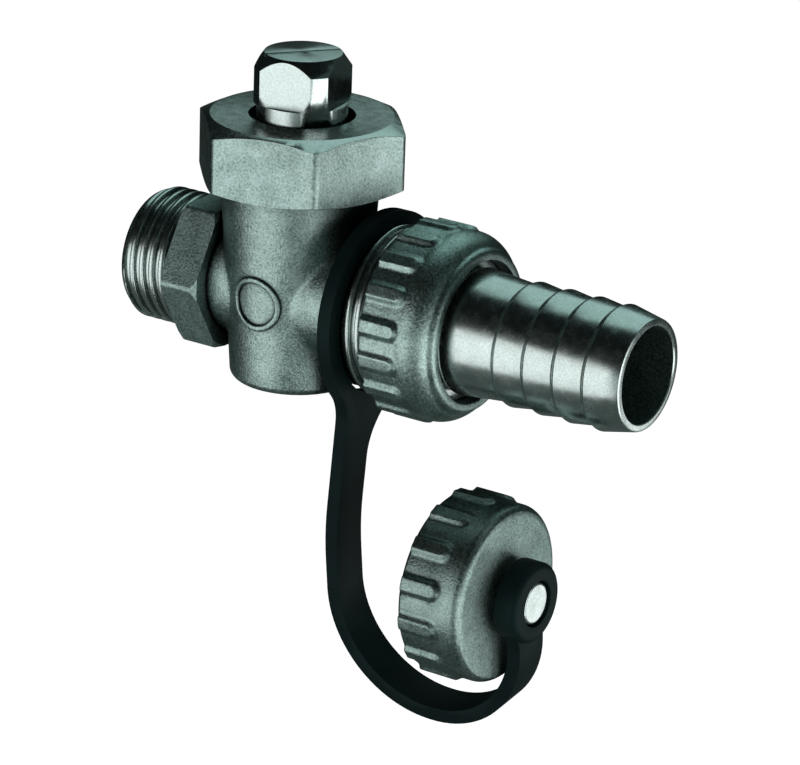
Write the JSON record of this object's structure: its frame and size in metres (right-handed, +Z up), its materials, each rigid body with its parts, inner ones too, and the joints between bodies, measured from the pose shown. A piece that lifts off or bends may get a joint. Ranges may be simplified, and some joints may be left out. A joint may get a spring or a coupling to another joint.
{
  "type": "drain cock",
  "caption": "Plug cock for filling and draining a boiler: threaded inlet, square-headed plug under a gland nut, hose union on the outlet and a screw cap on a rubber strap.",
  "frame": {"origin": "centre of the shoulder that ends the inlet thread, where the spanner hexagon begins", "axes": "+X along the flow axis towards the hose tail, +Z up along the plug axis"},
  "size_m": [0.0888, 0.0322, 0.1009],
  "materials": {
    "cast_brass": "nickel plated, blasted grain",
    "turned_brass": "nickel plated, turned bright",
    "packing": "pressed packing",
    "gasket_rubber": "flat sealing rubber",
    "strap_rubber": "moulded black rubber"
  },
  "bodies": {
    "body": {"valve_body": "cast_brass", "gland_nut": "cast_brass", "gland_follower": "turned_brass", "packing_ring_upper": "packing", "packing_ring_lower": "packing", "packing_washer": "turned_brass"},
    "plug": {"plug": "turned_brass"},
    "tail": {"hose_tail": "turned_brass", "union_gasket": "gasket_rubber"},
    "nut": {"union_nut": "cast_brass"},
    "strap": {"retaining_strap": "strap_rubber"},
    "cap": {"cap": "cast_brass", "cap_gasket": "gasket_rubber"}
  },
  "joints": [
    {"name": "plug_turn", "type": "hinge", "parent": "body", "child": "plug", "pos_m": [0.0172, 0, 0], "axis": [0, 0, 1], "continuous": true},
    {"name": "union_draw", "type": "slide", "parent": "body", "child": "tail", "axis": [1, 0, 0], "range_m": [0, 0.0068]},
    {"name": "union_unscrew", "type": "hinge", "parent": "tail", "child": "nut", "pos_m": [0.0172, 0, 0], "axis": [1, 0, 0], "range_deg": [0, 1350]},
    {"name": "strap_swing", "type": "hinge", "parent": "body", "child": "strap", "pos_m": [0.0172, 0, 0], "axis": [1, 0, 0], "range_deg": [-115, 115]},
    {"name": "cap_spin", "type": "hinge", "parent": "strap", "child": "cap", "pos_m": [0.0584, -0.0018, -0.0397], "axis": [1, 0, 0], "continuous": true}
  ],
  "couplings": [
    {"joint": "union_unscrew", "follows": "union_draw", "rad_per_m": 3463.7}
  ]
}
